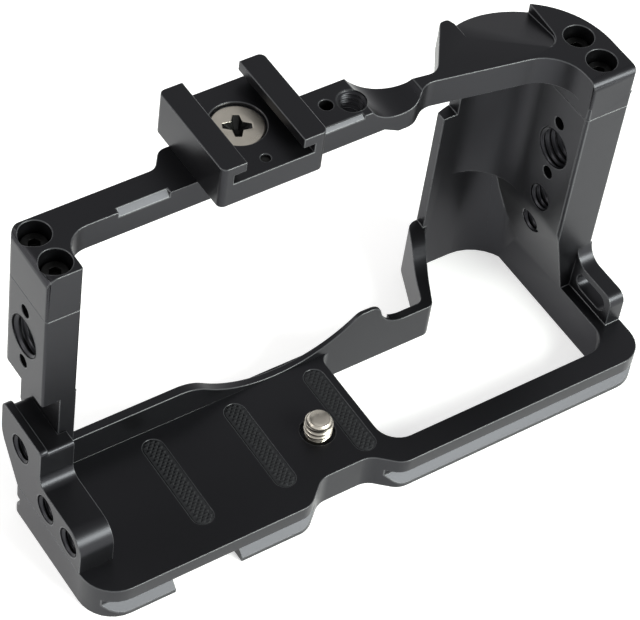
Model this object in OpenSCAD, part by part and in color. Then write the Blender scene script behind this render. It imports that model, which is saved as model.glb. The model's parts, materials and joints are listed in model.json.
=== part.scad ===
// Camera cage for a mirrorless body: a milled base frame with a grip wall, a screwed-on top bar
// with a cold shoe, a side bracket and a captive camera screw.
// The floor that the camera stands on is Z = 0, and the camera screw's axis is X = 0, Y = 0.
// +X points to the grip side, +Y to the lens side, +Z up.

/* [Base plate] */
// Length of the base plate, left to right
base_l = 141.2; // [139:0.2:146]
// Depth of the floor, from the rear edge to the front lip
base_d = 33.4; // [32.4:0.1:35]
// Thickness of the base plate
base_t = 9.1; // [8.6:0.1:12]
// Radius of the left rear corner in plan
left_corner_r = 8; // [3:0.5:9]
// Radius of the right rear corner in plan
right_corner_r = 6.6; // [3:0.2:9]
// Width of the shallow screen relief in the rear edge
relief_w = 23.6; // [18:0.2:26]
// Depth of the screen relief
relief_d = 5; // [2:0.2:5.6]

/* [Camera screw] */
// Distance of the camera screw from the left side of the base
screw_x = 63.3; // [60.4:0.1:63.8]
// Distance of the camera screw from the rear edge of the base
screw_y = 16.2; // [15:0.1:18]
// Outer diameter of the camera thread
camera_thread_d = 6.35; // [6:0.05:6.5]
// Height of the camera thread above the floor while the screw hangs at its lowest
thread_out = 4.4; // [3.5:0.1:5.5]
// Lift of the captive screw from its lowest to its highest place
screw_lift = 1.4; // [0.6:0.1:1.8]
// Diameter of the camera screw's head
screw_head_d = 13; // [11:0.5:15]
// Thickness of the camera screw's head
screw_head_t = 2; // [1.5:0.1:2.2]
// Thickness of the plastic washer on the head
washer_t = 0.5; // [0.3:0.1:0.6]

/* [Base dovetail] */
// Height of the plain band above the dovetail groove
band_h = 3.8; // [3:0.1:4.2]
// Height of the lip under the dovetail groove
toe_h = 1; // [0.6:0.1:1.5]
// Depth of the dovetail groove
groove_d = 2.6; // [2:0.1:3]
// Start of the gap in the rear dovetail, from the left side
gap_x = 18.9; // [12:0.1:24]
// Length of the gap in the rear dovetail
gap_l = 16; // [8:0.5:18]
// Depth of the gap from the rear edge
gap_d = 8; // [6:0.5:10]

/* [Battery door opening] */
// Distance of the opening's left edge from the left side of the base
open_x = 75; // [74.8:0.1:77]
// Width of the arm behind the opening
rear_arm_w = 5.8; // [5:0.1:8]
// Width of the arm to the right of the opening
side_arm_w = 6.6; // [5.6:0.1:7]
// Lean of the side arm's inner face, from its top to its underside
side_lean = 1.2; // [0.6:0.1:1.6]
// Radius of the opening's rear corners
open_r = 5.6; // [3:0.1:7]

/* [Front lip] */
// Height of the front lip above the floor
lip_h = 8; // [6:0.1:9]
// Thickness of the front lip
lip_t = 2.2; // [1.8:0.1:3]
// Radius of the lens clearance
lens_r = 31; // [29:0.5:32]
// Height of the lens axis above the floor
lens_h = 31.2; // [30:0.1:32]
// Height of the fin beside the lens clearance
fin_h = 8.7; // [7:0.1:9.5]
// Right end of the fin, from the left side of the base
fin_x = 90.4; // [89:0.1:92]
// Height of the low rim beside the fin
rim_h = 0.8; // [0.5:0.1:1.4]

/* [Left post] */
// Inset of the post's outer face from the left side of the base
post_x = 2; // [1.6:0.1:2.6]
// Width of the post, left to right
post_w = 7.9; // [7.6:0.1:9]
// Depth of the post, rear to front
post_d = 16.2; // [15.6:0.1:18]
// Distance of the post's rear face behind the front lip
post_proud = 4.4; // [3:0.1:5]
// Height of the top bar's end blocks, from the seam up to the bar's top face
seam_h = 12.2; // [11:0.1:14]
// Width of the thin lower part of the post
foot_w = 3.8; // [3:0.1:3.9]
// Height at which the post becomes thin
foot_h = 30; // [26:0.5:32]

/* [Top bar] */
// Height of the bar's top face above the floor
top_h = 68.2; // [67.2:0.2:71]
// Thickness of the bar
bar_t = 6.8; // [6:0.1:7.2]
// Depth of the bar, rear to front
bar_d = 6.9; // [6.4:0.1:8]
// Size of the chamfer on the rear top edge
edge_chamfer = 1.4; // [0.8:0.1:2.6]
// Depth of the scoop between the bar and the grip plate, at its rear end
scoop_d = 3.9; // [2:0.1:4.4]
// Width of the scoop at its rear end
scoop_w = 15; // [12:0.5:16]
// Step from the bar's top down to the grip plate's top
plate_drop = 1.5; // [0.6:0.1:1.8]
// Thickness of the grip plate
plate_t = 7.4; // [6.8:0.1:8]
// Reach of the finger relief's fading edge to the left of the grip column
finger_d = 2.6; // [1.5:0.1:3.5]
// Radius of the rear top edge over the grip column
rear_round_r = 2.2; // [1:0.1:2.4]
// Radius of the left top edge over the post
left_round_r = 2.4; // [1:0.1:2.6]

/* [Grip wall] */
// Radius of the outside of the grip wall in plan
grip_r = 20.4; // [19.6:0.1:21.4]
// Distance of the grip wall's centre from the rear edge
grip_y = 34.4; // [33:0.1:35.4]
// Thickness of the wall at the front
wall_t = 3.8; // [3.2:0.1:4.4]
// Width of the grip column's rear face
column_w = 11.4; // [11:0.1:12.2]
// Distance of the column's rear face from the rear edge of the base
column_y = 24.6; // [24:0.1:26]
// Left end of the grip wall, from the left side of the base
wall_x = 113.8; // [113:0.1:115]
// Height of the shoulder on the wall's left end
shoulder_h = 40; // [34:0.5:46]
// Height at which the column's inner face starts to lean out
taper_h = 20; // [18.5:0.5:21.5]

/* [Strap tab] */
// Height of the tab above the floor
tab_h = 8.2; // [7.6:0.1:10]
// Thickness of the tab
tab_t = 4; // [3:0.1:4.8]
// Distance of the tab's rear end from the rear edge of the base
tab_y = 10.8; // [9.5:0.1:11.2]
// Length of the strap slot
strap_slot_l = 10; // [8:0.1:10.6]
// Height of the strap slot
strap_slot_h = 4.4; // [4.1:0.1:4.8]

/* [Cold shoe] */
// Width of the shoe block
shoe_w = 24.4; // [23.4:0.1:26]
// Length of the shoe block, rear to front
shoe_l = 24.6; // [21:0.1:26]
// Height of the shoe block
shoe_h = 10.6; // [10:0.1:12]
// Width of the slot under the lips
slot_w = 18.7; // [18.6:0.05:19]
// Width of the gap between the lips
slot_gap = 13.2; // [12.6:0.1:13.6]
// Height of the slot under the lips
slot_h = 2.4; // [2.1:0.1:2.6]
// Thickness of the lips
shoe_lip_t = 2.4; // [1.8:0.1:2.6]
// Distance of the shoe's middle from the left side of the base
shoe_x = 52.9; // [52:0.1:54]
// Diameter of the shoe screw's head
shoe_screw_d = 11.4; // [10:0.1:11.8]

/* [Side bracket] */
// Thickness of the bracket, left to right
bracket_t = 8; // [7.6:0.1:8.6]
// Thickness of the raised outer cheek
cheek_t = 1.9; // [1.5:0.1:2.4]
// Height of the upper hole above the floor
upper_hole_z = 12.8; // [12.2:0.1:13.6]
// Height of the lower holes above the floor
lower_hole_z = 5; // [4.8:0.1:5.4]
// Half width of the upper block and radius of its front
upper_lobe_r = 8; // [7.4:0.1:8.4]
// Radius of the lower lobes
lower_lobe_r = 4.9; // [4.7:0.05:5]
// Spacing of the two lower holes
lower_pitch = 9.4; // [9.2:0.1:9.8]

/* [Mounting holes] */
// Wall diameter of a quarter-inch thread
quarter_d = 5.2; // [5:0.05:5.4]
// Wall diameter of a three-eighths-inch thread
three_eighths_d = 8.2; // [7.9:0.05:8.4]
// Distance of the locating pin holes from the large hole
pin_pitch = 7.6; // [7.4:0.1:7.9]
// Diameter of the locating pin holes
pin_hole_d = 3; // [2.6:0.1:3.2]
// Depth of the locating pin hole in the bar
pin_hole_l = 4; // [2.5:0.1:4.2]

/* [Cap screws] */
// Thread diameter of the four top screws
cap_thread_d = 3; // [2.5:0.1:3.2]
// Head diameter of the four top screws
cap_head_d = 5.5; // [5:0.1:5.8]
// Head height of the four top screws
cap_head_h = 3; // [2.5:0.1:3.2]
// Spacing of the two screws of a pair
cap_pitch = 8.2; // [7.6:0.1:8.6]
// Depth of the screw heads under the top face
cap_sink = 3; // [2:0.1:3.2]
// Length of the top screws under their heads
cap_l = 10; // [8:0.5:10.5]

/* [Grip pads] */
// Width of a pad
pad_w = 4.8; // [4:0.1:6]
// Length of a pad
pad_l = 24.6; // [20:0.1:25]
// Spacing of the pads
pad_pitch = 20.4; // [19.4:0.1:20.6]
// Distance of the first pad's middle from the left side of the base
pad_x = 29.9; // [27:0.1:30.2]
// Thickness of a pad
pad_t = 1.3; // [1.1:0.1:1.6]
// Height of a pad's face above the floor
pad_proud = 0.3; // [0.2:0.05:0.5]

/* [Hidden] */

anodised = [0.15, 0.155, 0.17];
bright_steel = [0.72, 0.70, 0.66];
blackened = [0.12, 0.12, 0.125];
rubber = [0.06, 0.06, 0.065];
nylon = [0.85, 0.85, 0.82];

// Facets of a bore and of a small hole, and steps of a rounded outline corner
bore_fn = 64;
small_fn = 32;
arc_steps = 8;
// How far a cut runs past the face that it cuts
over = 1;
// Radial clearance of a screw in its hole, and of the running screw
thread_gap = 0.05;
screw_gap = 0.06;
// Size of the chamfer at a hole's mouth and of a broken edge
mouth = 0.6;

// Small sizes of the base frame
lip_corner_r = 2.2;
fin_r = 7.2;
fin_round_r = 3;
lip_round_r = 12;
rim_l = 13.2;
rim_corner_r = 2;
ramp_h = 4.6;
ramp_start = 3.6;
ramp_inset = 2.6;
ramp_tip_r = 3.2;
open_front_r = 2.5;
open_grip_r = 11;
pad_front_gap = 2.2;
foot_taper_z = 14;
shoulder_in = 3.6;
front_groove_end = 6;

// A place or a step along the base plate follows the plate's length: the sizes are given for a
// plate that ends where the grip wall, turned through its share of a round, ends
grip_end_share = 1.3431372549;
given_l = wall_x + grip_r * grip_end_share;
function along(x) = x * base_l / given_l;
screw_at = along(screw_x);
open_at = along(open_x);
fin_at = along(fin_x);
wall_at = along(wall_x);
gap_at = along(gap_x);
shoe_at = along(shoe_x);
pad_at = along(pad_x);
pad_step = along(pad_pitch);
seam_z = top_h - seam_h;

post_y = base_d - post_proud;
post_in_x = post_x + post_w;
foot_x = post_in_x - foot_w;
lip_front_y = base_d + lip_t;
rim_end_x = fin_at + rim_l;
grip_x = base_l - grip_r;
grip_front_y = grip_y + grip_r;
wall_in_y = grip_front_y - wall_t;
column_x = base_l - column_w;

// Top bar, grip plate and the places of its holes
bar_hole_run = 15.5;
bar_pin_run = 5.4;
bar_pin_shift = 1.4;
bar_y = post_y + post_d - bar_d;
bar_front_y = post_y + post_d;
under_bar_z = top_h - bar_t;
plate_top_z = top_h - plate_drop;
plate_low_z = plate_top_z - plate_t;
bar_hole_x = shoe_at + shoe_w / 2 + along(bar_hole_run);
bar_hole_y = bar_y + bar_d * 0.71;
bar_pin_x = bar_hole_x - bar_pin_run;
bar_pin_y = bar_hole_y + bar_pin_shift;
scoop_x = bar_hole_x + quarter_d * 0.4 + scoop_w / 2;
relief_turn = 37;
relief_lean = 11;
relief_corner_r = 4.2;

// Places of the mounting holes and screws
cap_left_x = post_x + post_w / 2;
cap_left_y = post_y + post_d / 2 - cap_pitch / 2;
cap_right_x = base_l - column_w / 2;
cap_right_y = column_y + column_w / 2;
post_hole_y = post_y + post_d / 2;
post_hole_z = seam_z * 0.782;
wall_hole_y = column_y + column_w * 0.693;
wall_hole_z = seam_z * 0.728;
wall_lower_y_shares = [0.735, 0.97];
wall_lower_z_shares = [0.44, 0.25];
bracket_inset = 3.1;
bracket_screw_run = 7;
bracket_lower_y = screw_y - bracket_inset;
bracket_screw_d = 2.5;
bracket_screw_head_d = 4.5;
bracket_screw_head_h = 2.5;
bracket_screw_rise = 7;
bracket_rear_screw_y = bracket_lower_y + lower_pitch / 2;
bracket_front_screw_y = bracket_lower_y + lower_pitch + bracket_screw_run;

// The cold shoe and what is in it
shoe_shift = 0.6;
shoe_screw_shift = 1.4;
shoe_y = bar_y + bar_d / 2 + shoe_shift;
shoe_floor_z = top_h + shoe_h - shoe_lip_t - slot_h;
shoe_corner_r = 1.4;
shoe_screw_y = shoe_y + shoe_screw_shift;
shoe_screw_cone = 3.2;
shoe_thread_d = 5;
shoe_screw_l = 10;
stop_pin_d = 2;
stop_pin_l = 3.6;
stop_pin_inset = 3.2;

// The camera screw: threaded top, relief that rests on the web, thin neck through it, and head
web_t = 2;
top_recess = 1.8;
neck_in = 0.725;
neck_d = camera_thread_d - 2 * neck_in;
screw_hole_gap = 0.7;
thread_start = 0.3;
relief_neck_d = (neck_d + camera_thread_d) / 2;
screw_hole_d = camera_thread_d + 2 * screw_hole_gap;
head_gap = 0.5;
screw_recess_d = screw_head_d + 2 * head_gap;
web_low_z = -top_recess - web_t;
washer_z = web_low_z - screw_lift - washer_t;
head_low_z = washer_z - screw_head_t;
coin_slot_w = 1.6;
coin_slot_d = 1;

// Point on a circle in the plane
function on_circle(c, r, a) = [c[0] + r * cos(a), c[1] + r * sin(a)];
// Points along an arc
function arc(c, r, from, to, steps = arc_steps) =
    [for (i = [0 : steps]) on_circle(c, r, from + (to - from) * i / steps)];
function unit(v) = v / norm(v);
// The shorter way round from one angle to the other
function turn(from, to) = let (d = to - from) d > 180 ? d - 360 : (d < -180 ? d + 360 : d);
// One outline corner [x, y, radius] rounded between its neighbours
function corner(before, at, after) =
    let (p = [at[0], at[1]],
         u = unit([before[0], before[1]] - p),
         v = unit([after[0], after[1]] - p),
         half = acos(u * v) / 2,
         c = p + unit(u + v) * at[2] / sin(half),
         a = p + u * at[2] / tan(half) - c,
         b = p + v * at[2] / tan(half) - c,
         from = atan2(a[1], a[0]))
    arc(c, at[2], from, from + turn(from, atan2(b[1], b[0])));
// A whole outline of [x, y, radius] corners
function rounded(points) =
    let (n = len(points))
    [for (i = [0 : n - 1]) each corner(points[(i + n - 1) % n], points[i], points[(i + 1) % n])];
// An open path of [x, y, radius] corners between its plain first and last points
function path(points) =
    let (last = len(points) - 1)
    concat([[points[0][0], points[0][1]]],
        [for (i = [1 : last - 1]) each corner(points[i - 1], points[i], points[i + 1])],
        [[points[last][0], points[last][1]]]);

grip_c = [grip_x, grip_y];
wall_angle = acos((wall_at - grip_x) / grip_r);
wall_end = on_circle(grip_c, grip_r, wall_angle);
ramp_end_x = wall_at - ramp_inset;

// Plan of the base plate with its rounded corners and screen relief
function base_outline() =
    let (relief_in = relief_w * 0.24, relief_r = relief_in * 0.9)
    concat(
        path([
            [fin_at, lip_front_y],
            [0, lip_front_y, lip_corner_r],
            [0, 0, left_corner_r],
            [screw_at - relief_w / 2, 0, relief_r],
            [screw_at - relief_w / 2 + relief_in, relief_d, relief_r],
            [screw_at + relief_w / 2 - relief_in, relief_d, relief_r],
            [screw_at + relief_w / 2, 0, relief_r],
            [base_l, 0, right_corner_r],
            [base_l, grip_y]]),
        arc(grip_c, grip_r, 2, wall_angle, 3 * arc_steps),
        path([
            wall_end,
            [ramp_end_x, wall_end[1], ramp_tip_r],
            [rim_end_x, lip_front_y, rim_corner_r],
            [fin_at, lip_front_y]]));

// Plan of the opening for the battery door, which reaches forward under the grip
function opening_outline(arm_w) =
    let (right = base_l - arm_w)
    rounded([
        [open_at, base_d, open_front_r],
        [open_at, rear_arm_w, open_r],
        [right, rear_arm_w, open_r],
        [right, wall_in_y, open_grip_r],
        [wall_at + mouth, wall_in_y, rim_corner_r],
        [rim_end_x + rim_corner_r * 0.85, base_d, rim_corner_r]]);

// Plan of the grip wall with its thick rear column
function wall_outline() =
    concat(
        [[column_x, column_y + mouth], [column_x + mouth, column_y],
         [base_l - mouth, column_y], [base_l, column_y + mouth]],
        arc(grip_c, grip_r, 0, wall_angle, 3 * arc_steps),
        path([
            [wall_at, wall_in_y],
            [column_x, wall_in_y, open_grip_r],
            [column_x, column_y + mouth]]));

// Plan of the left post
function post_outline() = rounded([
    [post_x, post_y, mouth],
    [post_in_x, post_y, mouth],
    [post_in_x, bar_front_y, mouth],
    [post_x, bar_front_y, post_w * 0.3]]);

// Plan of the top bar: left block, bar, shoe pad, scoop, curved plate and right block
function top_outline() =
    let (shoe_left = shoe_at - shoe_w / 2,
         pad_front = bar_front_y + bar_d * 0.6,
         waist_x = scoop_x + scoop_w * 0.37,
         plate_x = scoop_x + scoop_w * 0.54,
         plate_y = bar_y + bar_d * 0.48,
         ear_y = grip_front_y + wall_t * 0.16)
    concat(
        path([
            [post_x, post_y + post_d / 2],
            [post_x, post_y, mouth],
            [post_in_x, post_y, mouth],
            [post_in_x, bar_y, post_w * 0.75],
            [scoop_x + scoop_w / 4, bar_y, scoop_w / 3],
            [plate_x, plate_y, scoop_w / 3],
            [column_x, plate_y - (column_x - plate_x) * 0.18, grip_r * 0.45],
            [column_x, column_y, mouth],
            [base_l, column_y, 2 * mouth],
            [base_l, grip_y]]),
        arc(grip_c, grip_r, 2, wall_angle, 3 * arc_steps),
        path([
            wall_end,
            [wall_at - mouth, ear_y, wall_t / 4],
            [wall_at - wall_t * 0.7, ear_y, wall_t / 3],
            [plate_x + scoop_w * 0.27, bar_front_y - wall_t / 2, scoop_w / 4],
            [waist_x, bar_front_y - wall_t / 4, scoop_w / 2],
            [bar_hole_x + quarter_d * 0.7, pad_front, bar_d / 2],
            [shoe_left - bar_d * 0.35, pad_front, bar_d * 0.4],
            [shoe_left - bar_d * 0.8, bar_front_y, bar_d * 0.4],
            [post_x, bar_front_y, post_w * 0.3],
            [post_x, post_y + post_d / 2]]));

// Moves a piece from the base plate's left rear corner to the camera screw's axis
module placed() {
    translate([-screw_at, -screw_y, 0]) children();
}

// An outline given in Y and Z, extruded along X
module along_x(x, l) {
    translate([x, 0, 0]) rotate([90, 0, 90]) linear_extrude(l) children();
}

// An outline given in X and Z, extruded along Y
module along_y(y, l) {
    translate([0, y + l, 0]) rotate([90, 0, 0]) linear_extrude(l) children();
}

// Threaded hole along X with chamfered mouths
module hole_x(x, y, z, d, l) {
    flare = 2.5 * mouth;
    translate([x, y, z]) rotate([0, 90, 0]) {
        translate([0, 0, -over]) cylinder(d = d, h = l + 2 * over, $fn = bore_fn);
        cylinder(d1 = d + flare, d2 = d, h = flare / 2, $fn = bore_fn);
        translate([0, 0, l - flare / 2]) cylinder(d1 = d, d2 = d + flare, h = flare / 2, $fn = bore_fn);
    }
}

// Large accessory hole through a wall, with a locating hole above and below it
module accessory_holes(x, y, z, l) {
    hole_x(x, y, z, three_eighths_d, l);
    for (side = [-1, 1])
        translate([x - over, y, z + side * pin_pitch]) rotate([0, 90, 0])
            cylinder(d = pin_hole_d, h = l + 2 * over, $fn = small_fn);
}

// Blind threaded hole in the grip column, open to the inside of the cage
module column_thread(y, z) {
    translate([column_x, y, z]) rotate([0, 90, 0]) {
        translate([0, 0, -over]) cylinder(d = quarter_d, h = column_w / 2 + over, $fn = bore_fn);
        cylinder(d1 = quarter_d + 2 * mouth, d2 = quarter_d, h = mouth, $fn = bore_fn);
    }
}

// Socket cap screw, head up, with its head's top at the origin
module cap_screw(thread_d, head_d, head_h, l) {
    difference() {
        union() {
            translate([0, 0, -head_h]) cylinder(d = head_d, h = head_h, $fn = bore_fn);
            translate([0, 0, -head_h - l]) cylinder(d = thread_d, h = l + head_h / 2, $fn = small_fn);
        }
        translate([0, 0, -head_h * 0.55]) cylinder(d = head_d * 0.5, h = head_h, $fn = 6);
    }
}

// Hole and counterbore of one cap screw under the top face at z
module cap_hole(x, y, z) {
    head_z = z - cap_sink - cap_head_h;
    translate([x, y, head_z - cap_l - mouth / 2])
        cylinder(d = cap_thread_d + 2 * thread_gap, h = cap_l + mouth, $fn = small_fn);
    translate([x, y, head_z]) cylinder(d = cap_head_d + 2 * mouth, h = top_h - head_z + over,
        $fn = bore_fn);
}

module all_cap_holes() {
    for (i = [0, 1]) {
        cap_hole(cap_left_x, cap_left_y + i * cap_pitch, top_h);
        cap_hole(cap_right_x, cap_right_y + i * cap_pitch, plate_top_z);
    }
}

// Centre of a round under a top face at height h that touches a circle from outside
function round_beside(c, r, side, round_r, h) =
    [c[0] + side * sqrt(pow(r + round_r, 2) - pow(c[1] - h + round_r, 2)), h - round_r];
// Direction from one point to another, from 0 to 360
function heading(from, to) =
    let (a = atan2(to[1] - from[1], to[0] - from[0])) a < 0 ? a + 360 : a;

// Front lip seen from the front: the lens clearance, the fin beside it and the low rim
module lip_profile() {
    lens_c = [screw_at, lens_h];
    fin_c = [fin_at + fin_r, rim_h + fin_r];
    lip_c = round_beside(lens_c, lens_r, -1, lip_round_r, lip_h);
    left_c = round_beside(lens_c, lens_r, 1, fin_round_r, fin_h);
    right_c = round_beside(fin_c, fin_r, -1, fin_round_r, fin_h);
    polygon(concat(
        [[foot_x, -over], [foot_x, lip_h]],
        arc(lip_c, lip_round_r, 90, heading(lip_c, lens_c)),
        arc(lens_c, lens_r, heading(lens_c, lip_c), heading(lens_c, left_c), 6 * arc_steps),
        arc(left_c, fin_round_r, heading(left_c, lens_c), 90),
        arc(right_c, fin_round_r, 90, heading(right_c, fin_c)),
        arc(fin_c, fin_r, heading(fin_c, right_c), 270, 2 * arc_steps),
        [[rim_end_x, rim_h], [rim_end_x, -over]]));
}

// Slanted cut that thins the lip from its front face, most of all at the fin
module lip_relief() {
    end_x = fin_at + fin_r / 2;
    linear_extrude(lens_h) polygon([
        [screw_at - lens_r * 0.7, lip_front_y], [end_x, base_d + lip_t * 0.4],
        [end_x, lip_front_y + over], [screw_at - lens_r * 0.7, lip_front_y + over]]);
}

// Post on the left: thick above, thin below where the side bracket stands beside it
module left_post() {
    translate([0, 0, foot_h]) linear_extrude(seam_z - foot_h) polygon(post_outline());
    along_x(foot_x, foot_w) polygon([
        [post_y, -over], [lip_front_y, -over], [bar_front_y - mouth, foot_taper_z],
        [bar_front_y - mouth, foot_h + over], [post_y, foot_h + over]]);
}

// Wall round the grip with a shoulder on its left end and a leaning face inside its column
module grip_wall() {
    difference() {
        translate([0, 0, -base_t]) linear_extrude(seam_z + base_t) polygon(wall_outline());
        translate([wall_at - over, 0, shoulder_h]) cube([shoulder_in + over, base_l, seam_z]);
        intersection() {
            translate([0, 0, -base_t - over]) linear_extrude(taper_h + base_t + over)
                polygon(opening_outline(side_arm_w));
            along_y(0, base_l) polygon([
                [column_x, taper_h], [base_l - side_arm_w, 0], [base_l - side_arm_w - side_lean, -base_t],
                [base_l - side_arm_w - side_lean, -base_t - over], [wall_at, -base_t - over],
                [wall_at, taper_h]]);
        }
    }
}

// Thin diagonal wall from the low rim to the grip wall, whose top rises to the wall's end
module grip_ramp() {
    start_y = lip_front_y + ramp_start;
    half_run = (wall_end[1] - start_y) / 2;
    swing = 2 * atan(ramp_h / 2 / half_run);
    bend_r = half_run / sin(swing);
    intersection() {
        difference() {
            translate([0, 0, -base_t / 2]) linear_extrude(base_t / 2 + rim_h + ramp_h) polygon(concat(
                [[wall_at + over, base_d]],
                path([
                    [wall_at + over, wall_end[1]],
                    [ramp_end_x, wall_end[1], ramp_tip_r],
                    [rim_end_x, lip_front_y, rim_corner_r],
                    [rim_end_x - 2 * over, lip_front_y]]),
                [[rim_end_x - 2 * over, base_d]]));
            translate([0, 0, -base_t]) linear_extrude(top_h) polygon(opening_outline(side_arm_w));
        }
        along_x(rim_end_x - rim_l, base_l) polygon(concat(
            [[base_d - over, -base_t], [base_d - over, rim_h]],
            arc([start_y, rim_h + bend_r], bend_r, 270, 270 + swing),
            arc([wall_end[1], rim_h + ramp_h - bend_r], bend_r, 90 + swing, 90),
            [[wall_end[1] + over, rim_h + ramp_h], [wall_end[1] + over, -base_t]]));
    }
}

// Low wall at the right rear with a slot for a wrist strap
module strap_tab() {
    rise_r = tab_h / 2;
    tab_x = base_l - tab_t;
    end_r = tab_h * 0.32;
    slot_y = (tab_y + column_y) / 2 - strap_slot_l / 2;
    difference() {
        along_x(tab_x, tab_t) polygon(concat(
            [[column_y + over, -over], [tab_y, -over]],
            arc([tab_y + end_r, tab_h - end_r], end_r, 180, 90),
            arc([column_y - rise_r, tab_h + rise_r], rise_r, -90, 0),
            [[column_y + over, tab_h + rise_r]]));
        translate([tab_x - over, slot_y + strap_slot_h / 2, tab_h / 2]) {
            rotate([0, 90, 0]) cylinder(d = strap_slot_h, h = tab_t + 2 * over, $fn = small_fn);
            translate([0, strap_slot_l - strap_slot_h, 0]) rotate([0, 90, 0])
                cylinder(d = strap_slot_h, h = tab_t + 2 * over, $fn = small_fn);
            translate([0, 0, -strap_slot_h / 2])
                cube([tab_t + 2 * over, strap_slot_l - strap_slot_h, strap_slot_h]);
        }
    }
}

// Groove of the dovetail, cut from Y = 0 inwards
module dovetail_profile() {
    polygon([
        [-over, -band_h], [groove_d, -band_h], [groove_d, -base_t + toe_h + groove_d],
        [0, -base_t + toe_h], [-over, -base_t + toe_h]]);
}

// The opening under the camera's battery door, with its leaning right side
module opening_cut() {
    low_arm_w = side_arm_w + side_lean;
    translate([0, 0, -base_t - over]) linear_extrude(base_t + 2 * over)
        polygon(opening_outline(low_arm_w));
    intersection() {
        translate([0, 0, -base_t - over]) linear_extrude(base_t + 2 * over)
            polygon(opening_outline(side_arm_w));
        along_y(0, base_l) polygon([
            [base_l - low_arm_w, -base_t], [base_l - side_arm_w, 0], [base_l - side_arm_w, 2 * over],
            [grip_x, 2 * over], [grip_x, -base_t]]);
    }
}

// Hole and counterbore of one bracket screw, from below
module bracket_screw_hole(y) {
    translate([bracket_t / 2, y, -base_t - over]) {
        cylinder(d = bracket_screw_d + 2 * thread_gap, h = base_t + bracket_screw_rise + over + mouth,
            $fn = small_fn);
        cylinder(d = bracket_screw_head_d + mouth, h = bracket_screw_head_h + mouth + over,
            $fn = small_fn);
    }
}

// Block with a round end front and rear, from sink below the floor up to a height h
module pad_block(w, l, sink, h) {
    translate([0, 0, -sink]) {
        translate([0, w / 2, 0]) cylinder(d = w, h = h, $fn = small_fn);
        translate([0, l - w / 2, 0]) cylinder(d = w, h = h, $fn = small_fn);
        translate([-w / 2, w / 2, 0]) cube([w, l - w, h]);
    }
}

// Everything cut out of the base plate
module base_cuts() {
    along_x(-over, base_l + 2 * over) dovetail_profile();
    translate([0, lip_front_y, 0]) mirror([0, 1, 0])
        along_x(-over, open_at - front_groove_end + over) dovetail_profile();
    translate([gap_at, -over, -base_t - over]) cube([gap_l, gap_d + over, base_t - band_h + over]);
    for (i = [0 : 2])
        translate([pad_at + i * pad_step, base_d - pad_front_gap - pad_l, 0])
            pad_block(pad_w, pad_l, pad_t - pad_proud, pad_t + over);
    translate([screw_at, screw_y, 0]) {
        translate([0, 0, -top_recess]) cylinder(d = screw_hole_d, h = top_recess + over, $fn = bore_fn);
        translate([0, 0, -base_t]) cylinder(d = neck_d + 2 * screw_gap, h = base_t, $fn = bore_fn);
        translate([0, 0, -base_t - over])
            cylinder(d = screw_recess_d, h = base_t + web_low_z + over, $fn = bore_fn);
    }
    for (y = [bracket_rear_screw_y, bracket_front_screw_y]) bracket_screw_hole(y);
}

// The milled frame: base plate, front lip, left post, grip wall and strap tab in one piece
module base_frame() {
    color(anodised) placed() difference() {
        union() {
            difference() {
                translate([0, 0, -base_t]) linear_extrude(base_t) polygon(base_outline());
                opening_cut();
            }
            along_y(base_d, lip_t) lip_profile();
            left_post();
            grip_wall();
            grip_ramp();
            strap_tab();
        }
        base_cuts();
        accessory_holes(post_x, post_hole_y, post_hole_z, post_w);
        accessory_holes(column_x, wall_hole_y, wall_hole_z, column_w);
        for (i = [0, 1]) column_thread(column_y + column_w * wall_lower_y_shares[i],
            seam_z * wall_lower_z_shares[i]);
        all_cap_holes();
        lip_relief();
    }
}

// Front view of the top bar without its end blocks: the grip plate lies lower than the bar
module bar_profile() {
    polygon([
        [0, under_bar_z], [scoop_x - scoop_w / 4, under_bar_z], [scoop_x, plate_low_z],
        [base_l + over, plate_low_z], [base_l + over, plate_top_z], [scoop_x, plate_top_z],
        [scoop_x, top_h], [0, top_h]]);
}

// Chamfer of a given size along a length of the bar's rear top edge
module rear_chamfer(x, l, size) {
    along_x(x, l) polygon([
        [bar_y - over, top_h - size - over], [bar_y + size + over, top_h + over],
        [bar_y - over, top_h + over]]);
}

// Scoop between the bar and the grip plate
module scoop() {
    scoop_r = (pow(scoop_w / 2, 2) + pow(scoop_d, 2)) / (2 * scoop_d);
    translate([scoop_x, bar_y - bar_d, top_h - scoop_d + scoop_r]) rotate([-90, 0, 0])
        cylinder(r = scoop_r, h = 4 * bar_d, $fn = 2 * bore_fn);
}

// Finger relief in the front of the grip plate, whose floor falls away towards the front right
module finger_relief() {
    right_x = column_x + mouth * 2;
    intersection() {
        translate([0, 0, plate_low_z]) linear_extrude(plate_t + over) polygon(concat(
            [[wall_at, grip_front_y + over]],
            path([[wall_at, bar_y], [right_x, bar_y, relief_corner_r],
                [right_x + mouth * 2, grip_front_y + over]])));
        translate([column_x - finger_d, bar_y + mouth, plate_top_z]) rotate([0, 0, -relief_turn])
            rotate([-relief_lean, 0, 0]) translate([-grip_r * 2, 0, 0]) cube(grip_r * 4);
    }
}

// Round on the rear top edge of the block over the grip column
module rear_round() {
    difference() {
        translate([column_x - over, column_y - over, plate_top_z - rear_round_r])
            cube([column_w + 2 * over, rear_round_r + over, rear_round_r + over]);
        translate([column_x - 2 * over, column_y + rear_round_r, plate_top_z - rear_round_r])
            rotate([0, 90, 0]) cylinder(r = rear_round_r, h = column_w + 4 * over, $fn = bore_fn);
    }
}

// Round on the left top edge of the block over the post
module left_round() {
    difference() {
        translate([post_x - over, post_y - over, top_h - left_round_r])
            cube([left_round_r + over, post_d + 2 * over, left_round_r + over]);
        translate([post_x + left_round_r, post_y - 2 * over, top_h - left_round_r])
            rotate([-90, 0, 0]) cylinder(r = left_round_r, h = post_d + 4 * over, $fn = bore_fn);
    }
}

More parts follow.
